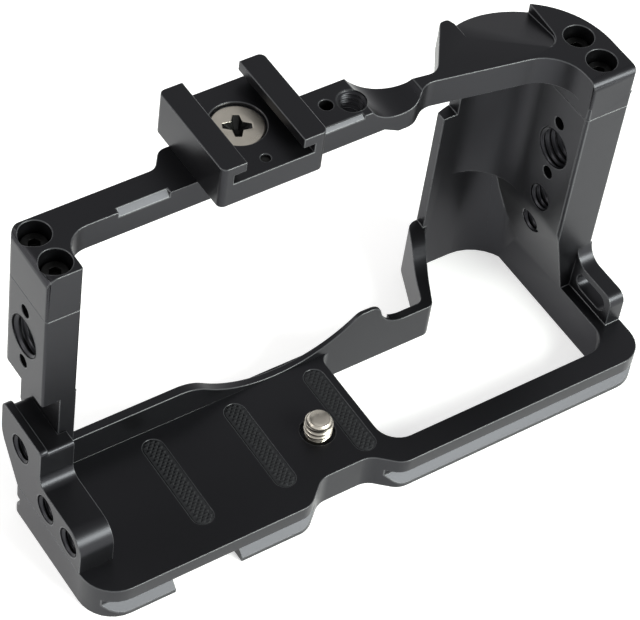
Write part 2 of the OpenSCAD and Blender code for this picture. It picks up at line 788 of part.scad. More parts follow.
// The top bar with its two end blocks, which stand on the frame's post and wall
module top_bar() {
    shoe_left = shoe_at - shoe_w / 2;
    chamfer_x = post_in_x + 1.9 * bar_d;
    color(anodised) placed() difference() {
        union() {
            intersection() {
                linear_extrude(2 * top_h) polygon(top_outline());
                along_y(0, base_l) bar_profile();
            }
            translate([0, 0, seam_z]) linear_extrude(seam_h) polygon(post_outline());
            translate([0, 0, seam_z]) linear_extrude(plate_low_z - seam_z + mouth) intersection() {
                polygon(wall_outline());
                translate([wall_at + shoulder_in, 0]) square([base_l, base_l]);
            }
        }
        rear_chamfer(chamfer_x, shoe_left - mouth - bar_d * 0.8 - chamfer_x, edge_chamfer);
        rear_chamfer(shoe_at + shoe_w / 2, bar_hole_x - shoe_at - shoe_w / 2, edge_chamfer * 0.65);
        scoop();
        finger_relief();
        rear_round();
        left_round();
        all_cap_holes();
        translate([bar_hole_x, bar_hole_y, under_bar_z - over])
            cylinder(d = quarter_d, h = bar_t + 2 * over, $fn = bore_fn);
        translate([bar_hole_x, bar_hole_y, top_h - mouth])
            cylinder(d1 = quarter_d, d2 = quarter_d + 2 * mouth, h = mouth, $fn = bore_fn);
        translate([bar_pin_x, bar_pin_y, top_h - pin_hole_l])
            cylinder(d = pin_hole_d, h = pin_hole_l + over, $fn = small_fn);
        translate([shoe_at, shoe_screw_y, under_bar_z - over])
            cylinder(d = shoe_thread_d + 2 * thread_gap, h = bar_t + 2 * over, $fn = small_fn);
    }
}

// Accessory shoe with a T-slot, held on the bar by one screw
module cold_shoe() {
    body_h = shoe_h - shoe_lip_t - slot_h;
    color(anodised) placed() translate([shoe_at, shoe_y, top_h]) difference() {
        linear_extrude(shoe_h) polygon(rounded([
            [-shoe_w / 2, -shoe_l / 2, shoe_corner_r],
            [shoe_w / 2, -shoe_l / 2, shoe_corner_r],
            [shoe_w / 2, shoe_l / 2, shoe_corner_r],
            [-shoe_w / 2, shoe_l / 2, shoe_corner_r]]));
        translate([-slot_w / 2, -shoe_l / 2 - over, body_h]) cube([slot_w, shoe_l + 2 * over, slot_h]);
        translate([-slot_gap / 2, -shoe_l / 2 - over, body_h])
            cube([slot_gap, shoe_l + 2 * over, shoe_h]);
        translate([0, shoe_screw_y - shoe_y, 0]) {
            translate([0, 0, -over])
                cylinder(d = shoe_thread_d + 2 * thread_gap, h = shoe_h, $fn = small_fn);
            translate([0, 0, body_h - mouth - shoe_screw_cone])
                cylinder(d1 = shoe_thread_d, d2 = shoe_screw_d + 2 * thread_gap, h = shoe_screw_cone - mouth,
                    $fn = bore_fn);
            translate([0, 0, body_h - 2 * mouth])
                cylinder(d = shoe_screw_d + mouth, h = 2 * mouth + over, $fn = bore_fn);
        }
        translate([0, -shoe_l / 2 + stop_pin_inset, body_h - stop_pin_l])
            cylinder(d = stop_pin_d + 2 * thread_gap, h = shoe_h, $fn = small_fn);
    }
}

// Countersunk screw with a cross recess, its head just under the shoe's floor
module shoe_screw() {
    cross_w = shoe_screw_d * 0.14;
    cross_l = shoe_screw_d * 0.46;
    cross_d = shoe_screw_cone * 0.6;
    color(bright_steel) placed() translate([shoe_at, shoe_screw_y, shoe_floor_z - mouth]) difference() {
        union() {
            translate([0, 0, -mouth]) cylinder(d = shoe_screw_d, h = mouth, $fn = bore_fn);
            translate([0, 0, -shoe_screw_cone]) cylinder(d1 = shoe_thread_d, d2 = shoe_screw_d,
                h = shoe_screw_cone - mouth, $fn = bore_fn);
            translate([0, 0, -shoe_screw_l]) cylinder(d = shoe_thread_d, h = shoe_screw_l - mouth,
                $fn = small_fn);
        }
        for (a = [0, 90]) rotate([0, 0, a])
            translate([-cross_w / 2, -cross_l / 2, -cross_d]) cube([cross_w, cross_l, cross_d + over]);
    }
}

// Small pin in the shoe's floor that locates an accessory foot
module shoe_stop_pin() {
    color(blackened) placed()
        translate([shoe_at, shoe_y - shoe_l / 2 + stop_pin_inset, shoe_floor_z - stop_pin_l])
            cylinder(d = stop_pin_d, h = stop_pin_l - mouth, $fn = small_fn);
}

// Side outline of the bracket in Y and Z, drawn in by inset at its top and front
module bracket_side(inset) {
    front_r = upper_lobe_r - inset;
    rear_y = bracket_lower_y - lower_lobe_r;
    block_y = base_d - upper_lobe_r;
    block_top = upper_hole_z + upper_lobe_r * 0.9 - inset;
    lobe_top = lower_hole_z + lower_lobe_r;
    polygon(concat(
        [[rear_y, 0], [base_d + upper_lobe_r / 10, 0]],
        arc([base_d, upper_hole_z], front_r, -36, 0),
        path([
            [base_d + front_r, upper_hole_z + mouth],
            [base_d + front_r, block_top, lower_lobe_r / 3],
            [block_y, block_top, lower_lobe_r / 5],
            [block_y, lobe_top, lower_lobe_r * 0.55],
            [bracket_lower_y + mouth, lobe_top]]),
        arc([bracket_lower_y, lower_hole_z], lower_lobe_r, 90, 180)));
}

// Bracket on the left side with three quarter-inch threaded holes
module side_bracket() {
    color(anodised) placed() difference() {
        union() {
            along_x(0, cheek_t) bracket_side(0);
            along_x(cheek_t - mouth, bracket_t - cheek_t + mouth) bracket_side(cheek_t / 3);
        }
        translate([foot_x - thread_gap, post_y - thread_gap, -over])
            cube([base_l, base_l, foot_h + 2 * over]);
        hole_x(0, base_d, upper_hole_z, quarter_d, foot_x - thread_gap);
        for (i = [0, 1])
            hole_x(0, bracket_lower_y + i * lower_pitch, lower_hole_z, quarter_d, bracket_t);
        for (y = [bracket_rear_screw_y, bracket_front_screw_y]) bracket_screw_hole(y);
    }
}

// One screw that holds the bracket, put in from below
module bracket_screw(y) {
    color(blackened) placed() translate([bracket_t / 2, y, -base_t + mouth]) rotate([180, 0, 0])
        cap_screw(bracket_screw_d, bracket_screw_head_d, bracket_screw_head_h,
            base_t + bracket_screw_rise - bracket_screw_head_h - mouth);
}
module bracket_front_screw() bracket_screw(bracket_front_screw_y);
module bracket_rear_screw() bracket_screw(bracket_rear_screw_y);

// One of the four screws that hold the top bar, under the top face at z
module top_screw(x, y, z) {
    color(blackened) placed() translate([x, y, z - cap_sink])
        cap_screw(cap_thread_d, cap_head_d, cap_head_h, cap_l);
}
module left_front_screw() top_screw(cap_left_x, cap_left_y + cap_pitch, top_h);
module left_rear_screw() top_screw(cap_left_x, cap_left_y, top_h);
module right_front_screw() top_screw(cap_right_x, cap_right_y + cap_pitch, plate_top_z);
module right_rear_screw() top_screw(cap_right_x, cap_right_y, plate_top_z);

// Captive camera screw: thread above, relief on the web, thin neck through it, coin-slot head
module camera_screw() {
    color(bright_steel) difference() {
        union() {
            translate([0, 0, -thread_start])
                cylinder(d = camera_thread_d, h = thread_out + thread_start - mouth, $fn = bore_fn);
            translate([0, 0, thread_out - mouth])
                cylinder(d1 = camera_thread_d, d2 = camera_thread_d - 2 * mouth, h = mouth,
                    $fn = bore_fn);
            translate([0, 0, -top_recess])
                cylinder(d = relief_neck_d, h = top_recess, $fn = bore_fn);
            translate([0, 0, head_low_z])
                cylinder(d = neck_d, h = -top_recess - head_low_z + mouth, $fn = bore_fn);
            translate([0, 0, head_low_z]) cylinder(d = screw_head_d, h = screw_head_t, $fn = bore_fn);
        }
        translate([-screw_head_d, -coin_slot_w / 2, head_low_z - over])
            cube([2 * screw_head_d, coin_slot_w, coin_slot_d + over]);
    }
}

// Thin washer on the screw's head
module screw_washer() {
    color(nylon) translate([0, 0, washer_z]) difference() {
        cylinder(d = screw_head_d - mouth, h = washer_t, $fn = bore_fn);
        translate([0, 0, -over]) cylinder(d = neck_d + 2 * screw_gap, h = washer_t + 2 * over,
            $fn = bore_fn);
    }
}

// One grip pad in its pocket
module pad(i) {
    color(rubber) placed()
        translate([pad_at + i * pad_step, base_d - pad_front_gap - pad_l + thread_gap, 0])
            pad_block(pad_w - 2 * thread_gap, pad_l - 2 * thread_gap, pad_t - pad_proud, pad_t);
}
module left_pad() pad(0);
module middle_pad() pad(1);
module right_pad() pad(2);

base_frame();
top_bar();
cold_shoe();
shoe_screw();
shoe_stop_pin();
side_bracket();
bracket_front_screw();
bracket_rear_screw();
left_front_screw();
left_rear_screw();
right_front_screw();
right_rear_screw();
camera_screw();
screw_washer();
left_pad();
middle_pad();
right_pad();
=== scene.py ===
"""Camera cage: a milled black frame with a screwed-on top bar, shoe, side bracket and screws.

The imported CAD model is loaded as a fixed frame. Every class below dresses one sub-assembly of
it: merged copies of the milled pieces get broken edges and real threads, and the screws, pads
and washer get pieces of their own with the detail that the solids leave out.
"""

from __future__ import annotations

import json
import logging
import math
from dataclasses import dataclass, field
from enum import Enum

import bmesh
import bpy
from mathutils import Matrix, Vector
from mathutils.bvhtree import BVHTree

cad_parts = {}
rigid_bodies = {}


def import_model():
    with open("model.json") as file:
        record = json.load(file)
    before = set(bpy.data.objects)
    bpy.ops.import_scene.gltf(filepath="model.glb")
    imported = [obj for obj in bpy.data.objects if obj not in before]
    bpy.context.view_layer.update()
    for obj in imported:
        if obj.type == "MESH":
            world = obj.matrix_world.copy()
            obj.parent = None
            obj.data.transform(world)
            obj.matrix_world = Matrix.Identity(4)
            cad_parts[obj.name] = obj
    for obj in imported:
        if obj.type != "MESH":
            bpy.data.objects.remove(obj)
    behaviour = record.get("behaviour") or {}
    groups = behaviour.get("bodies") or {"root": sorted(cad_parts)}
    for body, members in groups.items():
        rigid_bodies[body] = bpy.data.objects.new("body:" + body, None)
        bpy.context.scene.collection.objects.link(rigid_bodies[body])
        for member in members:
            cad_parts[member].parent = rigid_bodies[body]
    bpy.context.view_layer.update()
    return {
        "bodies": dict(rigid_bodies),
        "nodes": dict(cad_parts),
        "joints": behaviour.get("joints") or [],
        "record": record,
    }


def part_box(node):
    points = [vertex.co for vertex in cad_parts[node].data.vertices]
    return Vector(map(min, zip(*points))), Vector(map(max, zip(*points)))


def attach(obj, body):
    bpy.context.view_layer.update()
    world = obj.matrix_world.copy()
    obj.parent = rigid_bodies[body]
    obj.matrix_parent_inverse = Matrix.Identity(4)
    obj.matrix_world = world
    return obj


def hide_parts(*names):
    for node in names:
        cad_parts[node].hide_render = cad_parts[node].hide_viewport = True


log = logging.getLogger("camera_cage")

MM = 0.001
# Points of a solid nearer than this, in metres, are one point
SAME_POINT = 8e-6
# Faces of a solid that turn less than this many degrees are one face
SAME_FACE = 0.4
# The range that most values of a noise lie in
CLOUD = (0.3, 0.7)
# How far a cutter runs past the face that it cuts, in millimetres
OVER = 0.2
Colour = tuple[float, float, float]
Point = tuple[float, float, float]


class Sock:
    """An output socket whose arithmetic adds Math nodes to its tree."""

    def __init__(self, net: Net, socket: bpy.types.NodeSocket) -> None:
        """Wraps one output socket of a tree."""
        self.net = net
        self.socket = socket

    def _math(self, operation: str, *values: Sock | float) -> Sock:
        """Adds one Math node.

        Args:
            operation: The Math node's operation.
            *values: The values or links of its sockets, in order.

        Returns:
            The node's output.
        """
        return self.net.add("ShaderNodeMath", {"operation": operation}, dict(enumerate(values)))

    def __add__(self, other: Sock | float) -> Sock:
        """The sum of two values."""
        return self._math("ADD", self, other)

    __radd__ = __add__

    def __sub__(self, other: Sock | float) -> Sock:
        """This value less another."""
        return self._math("SUBTRACT", self, other)

    def __rsub__(self, other: float) -> Sock:
        """A number less this value."""
        return self._math("SUBTRACT", other, self)

    def __mul__(self, other: Sock | float) -> Sock:
        """The product of two values."""
        return self._math("MULTIPLY", self, other)

    __rmul__ = __mul__

    def __truediv__(self, other: Sock | float) -> Sock:
        """This value divided by another."""
        return self._math("DIVIDE", self, other)

    def fraction(self) -> Sock:
        """The part of this value after its decimal point."""
        return self._math("FRACT", self)

    def plain(self) -> Sock:
        """This value without its sign."""
        return self._math("ABSOLUTE", self)

    def root(self) -> Sock:
        """The square root of this value."""
        return self._math("SQRT", self)

    def least(self, other: Sock | float) -> Sock:
        """The smaller of two values."""
        return self._math("MINIMUM", self, other)

    def most(self, other: Sock | float) -> Sock:
        """The larger of two values."""
        return self._math("MAXIMUM", self, other)

    def above(self, other: Sock | float) -> Sock:
        """One where this value is over another, and nothing elsewhere."""
        return self._math("GREATER_THAN", self, other)

    def sine(self) -> Sock:
        """The sine of this value."""
        return self._math("SINE", self)

    def cosine(self) -> Sock:
        """The cosine of this value."""
        return self._math("COSINE", self)

    def eased(self, low: float, high: float, to_low: float, to_high: float) -> Sock:
        """Maps a range of this value onto another with a soft start and end.

        Args:
            low: The value that gives to_low.
            high: The value that gives to_high.
            to_low: The result at low and under it.
            to_high: The result at high and over it.

        Returns:
            The mapped value.
        """
        settings = {"interpolation_type": "SMOOTHSTEP"}
        inputs = {"Value": self, "From Min": low, "From Max": high,
                  "To Min": to_low, "To Max": to_high}
        return self.net.add("ShaderNodeMapRange", settings, inputs)


class Net:
    """The nodes of one material or of one mesh tree."""

    def __init__(self, tree: bpy.types.NodeTree) -> None:
        """Starts on an existing tree."""
        self.tree = tree

    def add(self, kind: str, settings: dict | None = None, inputs: dict | None = None,
            out: int | str = 0) -> Sock:
        """Adds a node.

        Args:
            kind: The node's type.
            settings: Its settings, set first.
            inputs: Values or links by socket name or number.
            out: The output that is handed back.

        Returns:
            That output.
        """
        node = self.tree.nodes.new(kind)
        for name, value in (settings or {}).items():
            setattr(node, name, value)
        for name, value in (inputs or {}).items():
            if isinstance(value, Sock):
                self.tree.links.new(value.socket, node.inputs[name])
            elif value is not None:
                node.inputs[name].default_value = value
        return Sock(self, node.outputs[out]) if len(node.outputs) else Sock(self, None)


class Finish:
    """A finish that makes its Blender material once and hands it out again."""

    slot: str = ""

    def dress(self, net: Net) -> Sock:
        """Builds the finish's shader, for each kind of finish in its own way."""
        raise NotImplementedError

    def material(self) -> bpy.types.Material:
        """Gives the finish's material, made the first time that it is asked for."""
        name = type(self).__name__.lower()
        found = bpy.data.materials.get(name)
        if found is not None:
            return found
        made = bpy.data.materials.new(name)
        made.use_nodes = True
        made.node_tree.nodes.clear()
        net = Net(made.node_tree)
        net.add("ShaderNodeOutputMaterial", {}, {"Surface": self.dress(net)})
        return made

    @staticmethod
    def mixed(net: Net, share: Sock, first: Colour, second: Colour) -> Sock:
        """Mixes two colours by a share that changes over the surface."""
        settings = {"data_type": "RGBA"}
        inputs = {0: share, 6: (*first, 1.0), 7: (*second, 1.0)}
        return net.add("ShaderNodeMix", settings, inputs, 2)

    @staticmethod
    def noise(net: Net, scale: float, detail: float = 2.0) -> Sock:
        """Noise on object coordinates.

        Args:
            net: The material's nodes.
            scale: Features to a metre.
            detail: Octaves of finer noise.

        Returns:
            The noise's value.
        """
        place = net.add("ShaderNodeTexCoord", out="Object")
        return net.add("ShaderNodeTexNoise", {}, {"Vector": place, "Scale": scale,
                                                  "Detail": detail})


@dataclass(frozen=True)
class Anodised(Finish):
    """Bead-blasted aluminium, anodised satin black."""

    slot: str = "anodised"
    deep: Colour = (0.0095, 0.01, 0.0135)
    lit: Colour = (0.015, 0.0158, 0.0205)
    roughness: float = 0.36
    gloss: float = 0.56
    tint: Colour = (0.9, 0.945, 1.0)
    cloud: float = 55.0
    grain: float = 5200.0
    grain_depth: float = 0.000012
    grain_strength: float = 0.35

    def dress(self, net: Net) -> Sock:
        """Fine blasted grain, slow changes of tint and a satin gloss."""
        slow = self.noise(net, self.cloud, 3.0)
        grain = self.noise(net, self.grain)
        bump = net.add("ShaderNodeBump", {}, {"Height": grain, "Strength": self.grain_strength,
                                              "Distance": self.grain_depth})
        rough = slow.eased(*CLOUD, self.roughness - 0.03, self.roughness + 0.04)
        return net.add("ShaderNodeBsdfPrincipled", {}, {
            "Base Color": self.mixed(net, slow, self.deep, self.lit),
            "Roughness": rough + grain * 0.05, "Specular IOR Level": self.gloss,
            "Specular Tint": (*self.tint, 1.0), "Normal": bump})


@dataclass(frozen=True)
class EdgeAnodised(Anodised):
    """The same finish on broken edges, which a fine cutter leaves smoother; their paler colour is
    partly painted highlight, so that the edges read as bright lines.
    """

    # Paler than the faces: partly painted highlight on the broken edges
    deep: Colour = (0.05, 0.051, 0.056)
    lit: Colour = (0.075, 0.077, 0.083)
    roughness: float = 0.24
    cloud: float = 90.0

    def dress(self, net: Net) -> Sock:
        """A finer finish with a little bare metal in it."""
        slow = self.noise(net, self.cloud, 3.0)
        return net.add("ShaderNodeBsdfPrincipled", {}, {
            "Base Color": self.mixed(net, slow, self.deep, self.lit),
            "Metallic": slow.eased(0.35, 0.75, 0.25, 0.5),
            "Roughness": slow.eased(*CLOUD, self.roughness, self.roughness + 0.08)})


@dataclass(frozen=True)
class Blackened(Finish):
    """Oiled black oxide on small steel screws, also used as painted shade inside the shoe screw's
    cross recess.
    """

    slot: str = "screw_steel"
    deep: Colour = (0.006, 0.006, 0.0065)
    lit: Colour = (0.018, 0.0176, 0.0172)
    cloud: float = 700.0

    def dress(self, net: Net) -> Sock:
        """Dark metal with brighter rubbed patches."""
        slow = self.noise(net, self.cloud, 4.0)
        return net.add("ShaderNodeBsdfPrincipled", {}, {
            "Base Color": self.mixed(net, slow, self.deep, self.lit),
            "Metallic": slow.eased(0.4, 0.7, 0.55, 0.9),
            "Roughness": slow.eased(*CLOUD, 0.3, 0.46)})


@dataclass(frozen=True)
class Nickel(Finish):
    """Satin nickel plate."""

    slot: str = "bright_screw_steel"
    deep: Colour = (0.6, 0.56, 0.49)
    lit: Colour = (0.75, 0.7, 0.62)
    cloud: float = 420.0

    def tone(self, net: Net, slow: Sock) -> Sock:
        """The plate's colour, a little cloudy."""
        return self.mixed(net, slow, self.deep, self.lit)

    def dress(self, net: Net) -> Sock:
        """Warm bright metal whose gloss changes with its colour."""
        slow = self.noise(net, self.cloud, 3.0)
        return net.add("ShaderNodeBsdfPrincipled", {}, {
            "Base Color": self.tone(net, slow), "Metallic": 1.0,
            "Roughness": slow.eased(*CLOUD, 0.27, 0.35)})


@dataclass(frozen=True)
class RootShadedNickel(Nickel):
    """The same plate on the thread of a screw round the Z axis, with painted shade darkening its
    roots.
    """

    # Colour of the painted shade in the thread's roots
    root_shade: Colour = (0.03, 0.028, 0.025)
    root: float = 0.00262
    flank: float = 0.00305

    def tone(self, net: Net, slow: Sock) -> Sock:
        """The plate's colour, darkened from the flanks down to the roots as painted shade."""
        place = net.add("ShaderNodeTexCoord", out="Object")
        x = net.add("ShaderNodeSeparateXYZ", {}, {0: place}, "X")
        y = net.add("ShaderNodeSeparateXYZ", {}, {0: place}, "Y")
        unshaded_share = (x * x + y * y).root().eased(self.root, self.flank, 0.0, 1.0)
        return net.add("ShaderNodeMix", {"data_type": "RGBA"}, {
            0: unshaded_share, 6: (*self.root_shade, 1.0), 7: super().tone(net, slow)}, 2)


@dataclass(frozen=True)
class PadRubber(Finish):
    """Moulded black rubber, matt, with dust in its texture."""

    slot: str = "rubber"
    deep: Colour = (0.006, 0.0065, 0.008)
    lit: Colour = (0.016, 0.0165, 0.019)
    gloss: float = 0.3
    grain: float = 2200.0
    grain_depth: float = 0.00002
    grain_strength: float = 0.4

    def dress(self, net: Net) -> Sock:
        """Matt rubber whose tint changes a little from grain to grain."""
        grain = self.noise(net, self.grain, 3.0)
        bump = net.add("ShaderNodeBump", {}, {"Height": grain, "Strength": self.grain_strength,
                                              "Distance": self.grain_depth})
        return net.add("ShaderNodeBsdfPrincipled", {}, {
            "Base Color": self.mixed(net, grain, self.deep, self.lit),
            "Roughness": grain.eased(*CLOUD, 0.5, 0.68), "Specular IOR Level": self.gloss,
            "Normal": bump})


@dataclass(frozen=True)
class Nylon(Finish):
    """Off-white nylon."""

    slot: str = "nylon"
    deep: Colour = (0.60, 0.60, 0.57)
    lit: Colour = (0.68, 0.68, 0.65)
    cloud: float = 500.0

    def dress(self, net: Net) -> Sock:
        """Soft plastic with a faint cloud in it."""
        slow = self.noise(net, self.cloud, 3.0)
        return net.add("ShaderNodeBsdfPrincipled", {}, {
            "Base Color": self.mixed(net, slow, self.deep, self.lit),
            "Roughness": slow.eased(*CLOUD, 0.4, 0.5)})


class Axis(Enum):
    """The direction that a hole runs in."""

    X = (1.0, 0.0, 0.0)
    MINUS_X = (-1.0, 0.0, 0.0)
    MINUS_Z = (0.0, 0.0, -1.0)

    def matrix(self, place: Point) -> Matrix:
        """Turns +Z to this direction and moves the origin to a place in millimetres."""
        turn = Vector((0, 0, 1)).rotation_difference(Vector(self.value)).to_matrix().to_4x4()
        return Matrix.Translation(Vector(place) * MM) @ turn


class Shape:
    """Mesh work that the sub-assemblies share."""

    @staticmethod
    def add(name: str, mesh: bpy.types.Mesh) -> bpy.types.Object:
        """Puts a mesh into the scene as an object at the origin."""
        made = bpy.data.objects.new(name, mesh)
        bpy.context.scene.collection.objects.link(made)
        return made

    @staticmethod
    def settle(piece: bpy.types.Object) -> bpy.types.Object:
        """Applies all the modifiers of a piece and leaves a plain mesh."""
        graph = bpy.context.evaluated_depsgraph_get()
        mesh = bpy.data.meshes.new_from_object(piece.evaluated_get(graph))
        piece.modifiers.clear()
        piece.data = mesh
        return piece

    @staticmethod
    def merged_copy(node: bpy.types.Object, name: str) -> bpy.types.Object:
        """Copies a CAD node's mesh, joins its triangles and clears the flat ones away.

        Args:
            node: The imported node.
            name: The new piece's name.

        Returns:
            The new piece.
        """
        mesh = bpy.data.meshes.new(name)
        work = bmesh.new()
        work.from_mesh(node.data)
        bmesh.ops.remove_doubles(work, verts=work.verts, dist=SAME_POINT)
        bmesh.ops.dissolve_degenerate(work, edges=work.edges, dist=SAME_POINT)
        bmesh.ops.dissolve_limit(work, angle_limit=math.radians(SAME_FACE), verts=work.verts,
                                 edges=work.edges)
        for face in work.faces:
            face.smooth = True
        work.to_mesh(mesh)
        work.free()
        return Shape.add(name, mesh)

    @staticmethod
    def revolved(name: str, outline: list[tuple[float, float]], steps: int = 96
                 ) -> bpy.types.Object:
        """Turns an outline of radius and height, in millimetres, round the Z axis.

        Args:
            name: The new piece's name.
            outline: Points from the axis, along the surface, back to the axis.
            steps: Facets round the axis.

        Returns:
            The closed piece.
        """
        mesh = bpy.data.meshes.new(name)
        work = bmesh.new()
        rings = []
        for radius, height in outline:
            if radius == 0:
                rings.append([work.verts.new((0, 0, height * MM))])
                continue
            turn = [2 * math.pi * i / steps for i in range(steps)]
            rings.append([work.verts.new((radius * MM * math.cos(a), radius * MM * math.sin(a),
                                          height * MM)) for a in turn])
        for low, high in zip(rings, rings[1:]):
            for i in range(steps):
                j = (i + 1) % steps
                loop = [low[i % len(low)], low[j % len(low)], high[j % len(high)],
                        high[i % len(high)]]
                work.faces.new(list(dict.fromkeys(loop)))
        bmesh.ops.recalc_face_normals(work, faces=work.faces)
        for face in work.faces:
            face.smooth = True
        work.to_mesh(mesh)
        work.free()
        return Shape.add(name, mesh)

    @staticmethod
    def cut(piece: bpy.types.Object, cutter: bpy.types.Object) -> None:
        """Cuts one closed mesh out of another and removes the cutter."""
        tool = piece.modifiers.new("cut", "BOOLEAN")
        tool.operation, tool.solver, tool.object = "DIFFERENCE", "EXACT", cutter
        Shape.settle(piece)
        bpy.data.objects.remove(cutter)

    @staticmethod
    def break_edges(piece: bpy.types.Object, width: float, finish: Finish,
                    edge: Finish | None = None, angle: float = 34.0) -> None:
        """Breaks the sharp edges of a piece and evens its shading.

        Where broken edges meet in little room, a point can be thrown off the piece: it goes
        back to the old surface, and no point leaves the piece's box.

        Args:
            piece: The merged piece.
            width: Width of the broken edge in millimetres.
            finish: The finish of the faces.
            edge: The finish of the broken edges, where it differs.
            angle: Edges that turn more than this many degrees are broken.
        """
        piece.data.materials.clear()
        piece.data.materials.append(finish.material())
        if edge is not None:
            piece.data.materials.append(edge.material())
        spots = [vertex.co.copy() for vertex in piece.data.vertices]
        low = [min(spot[i] for spot in spots) for i in range(3)]
        high = [max(spot[i] for spot in spots) for i in range(3)]
        before = BVHTree.FromPolygons(spots, [tuple(face.vertices) for face in piece.data.polygons])
        bevel = piece.modifiers.new("edges", "BEVEL")
        bevel.width, bevel.segments = width * MM, 2
        bevel.limit_method, bevel.angle_limit = "ANGLE", math.radians(angle)
        bevel.use_clamp_overlap, bevel.loop_slide = False, True
        bevel.material = 1 if edge is not None else -1
        even = piece.modifiers.new("shading", "WEIGHTED_NORMAL")
        even.keep_sharp, even.weight = False, 60
        Shape.settle(piece)
        for vertex in piece.data.vertices:
            spot, _, _, gap = before.find_nearest(vertex.co)
            if gap > width * MM:
                vertex.co = spot
            vertex.co = [min(max(v, a), b) for v, a, b in zip(vertex.co, low, high)]

    @staticmethod
    def join(name: str, pieces: list[bpy.types.Object]) -> bpy.types.Object:
        """Joins plain meshes into one object and keeps their materials.

        Args:
            name: The joined piece's name.
            pieces: The meshes, which are removed.

        Returns:
            The joined piece.
        """
        mesh = bpy.data.meshes.new(name)
        work = bmesh.new()
        for piece in pieces:
            first = len(work.faces)
            work.from_mesh(piece.data)
            work.faces.ensure_lookup_table()
            places = []
            for material in piece.data.materials:
                if material is not None and material.name not in mesh.materials:
                    mesh.materials.append(material)
                places.append(mesh.materials.find(material.name) if material else 0)
            for face in work.faces[first:]:
                face.material_index = places[face.material_index]
        work.to_mesh(mesh)
        work.free()
        for piece in pieces:
            bpy.data.objects.remove(piece)
        return Shape.add(name, mesh)


class MeshTree:
    """A Geometry Nodes tree with named inputs, run once and then made a plain mesh."""

    def __init__(self, name: str, sizes: dict[str, float]) -> None:
        """Makes the tree and its inputs.

        Args:
            name: The tree's name.
            sizes: Its named inputs and their values.
        """
        self.tree = bpy.data.node_groups.new(name, "GeometryNodeTree")
        self.sizes = sizes
        for size in sizes:
            self.tree.interface.new_socket(size, in_out="INPUT", socket_type="NodeSocketFloat")
        self.tree.interface.new_socket("Mesh", in_out="OUTPUT", socket_type="NodeSocketGeometry")
        self.net = Net(self.tree)
        self.group = self.tree.nodes.new("NodeGroupInput")

    def size(self, name: str) -> Sock:
        """The socket of a named input."""
        return Sock(self.net, self.group.outputs[name])

    def end(self, mesh: Sock, finish: Finish) -> None:
        """Ends the tree in Realize Instances and Set Material."""
        real = self.net.add("GeometryNodeRealizeInstances", {}, {"Geometry": mesh})
        done = self.net.add("GeometryNodeSetMaterial", {}, {"Geometry": real,
                                                            "Material": finish.material()})
        self.net.add("NodeGroupOutput", {}, {"Mesh": done})

    def run(self, name: str) -> bpy.types.Object:
        """Runs the tree on an empty mesh and makes its result plain."""
        piece = Shape.add(name, bpy.data.meshes.new(name))
        modifier = piece.modifiers.new("tree", "NODES")
        modifier.node_group = self.tree
        for item in self.tree.interface.items_tree:
            if item.in_out == "INPUT" and item.name in self.sizes:
                modifier[item.identifier] = float(self.sizes[item.name])
        return Shape.settle(piece)


@dataclass
class Thread:
    """A real helical thread, inside a hole or round a screw.

    Sizes are in millimetres, columns and rows are facets round the axis and to a turn, and
    runout is the share of the pitch over which each end fades out.
    """

    minor_r: float
    major_r: float
    pitch: float
    length: float
    inside: bool
    columns: int = 72
    rows: int = 16
    runout: float = 0.45
    weld: float = 0.001

    def build(self, name: str, finish: Finish) -> bpy.types.Object:
        """Makes the thread's surface round +Z from height 0.

        Args:
            name: The piece's name.
            finish: Its finish.

        Returns:
            The thread as a plain mesh.
        """
        turn = -1.0 if self.inside else 1.0
        rows = math.ceil((self.length / self.pitch + 1) * self.rows)
        made = MeshTree("thread_tree", {
            "Pitch": self.pitch * MM, "Length": self.length * MM, "Turn": turn,
            "Lead": 0.0 if self.inside else -self.pitch * MM,
            "Reach": rows / self.rows * self.pitch * MM,
            "Base": (self.major_r if self.inside else self.minor_r) * MM,
            "Depth": turn * (self.major_r - self.minor_r) * MM})
        net = made.net
        grid = net.add("GeometryNodeMeshGrid", {}, {"Size X": 1.0, "Size Y": 1.0,
                                                    "Vertices X": self.columns + 1,
                                                    "Vertices Y": rows + 1}, "Mesh")
        place = net.add("GeometryNodeInputPosition")
        across = net.add("ShaderNodeSeparateXYZ", {}, {0: place}, "X") + 0.5
        along = net.add("ShaderNodeSeparateXYZ", {}, {0: place}, "Y") + 0.5
        angle = across * made.size("Turn") * (2 * math.pi)
        step = along * made.size("Reach")
        climb = step + made.size("Lead") + across * made.size("Turn") * made.size("Pitch")
        height = climb.most(0.0).least(made.size("Length"))
        crest = 1.0 - ((step / made.size("Pitch")).fraction() * 2.0 - 1.0).plain()
        fade = height.least(made.size("Length") - height) / made.size("Pitch")
        tooth = crest.eased(0.0, 1.0, 0.0, 1.0) * fade.eased(0.0, self.runout, 0.0, 1.0)
        radius = made.size("Base") + made.size("Depth") * tooth
        spot = net.add("ShaderNodeCombineXYZ", {}, {"X": radius * angle.cosine(),
                                                    "Y": radius * angle.sine(), "Z": height})
        moved = net.add("GeometryNodeSetPosition", {}, {"Geometry": grid, "Position": spot})
        closed = net.add("GeometryNodeMergeByDistance", {}, {"Geometry": moved,
                                                             "Distance": self.weld * MM})
        smooth = net.add("GeometryNodeSetShadeSmooth", {}, {"Geometry": closed})
        made.end(smooth, finish)
        return made.run(name)


class Hole(Enum):
    """Threads of the cage's mounting holes: inner radius, outer radius and pitch."""

    QUARTER = (2.6, 3.175, 1.27)
    THREE_EIGHTHS = (4.1, 4.7625, 1.5875)


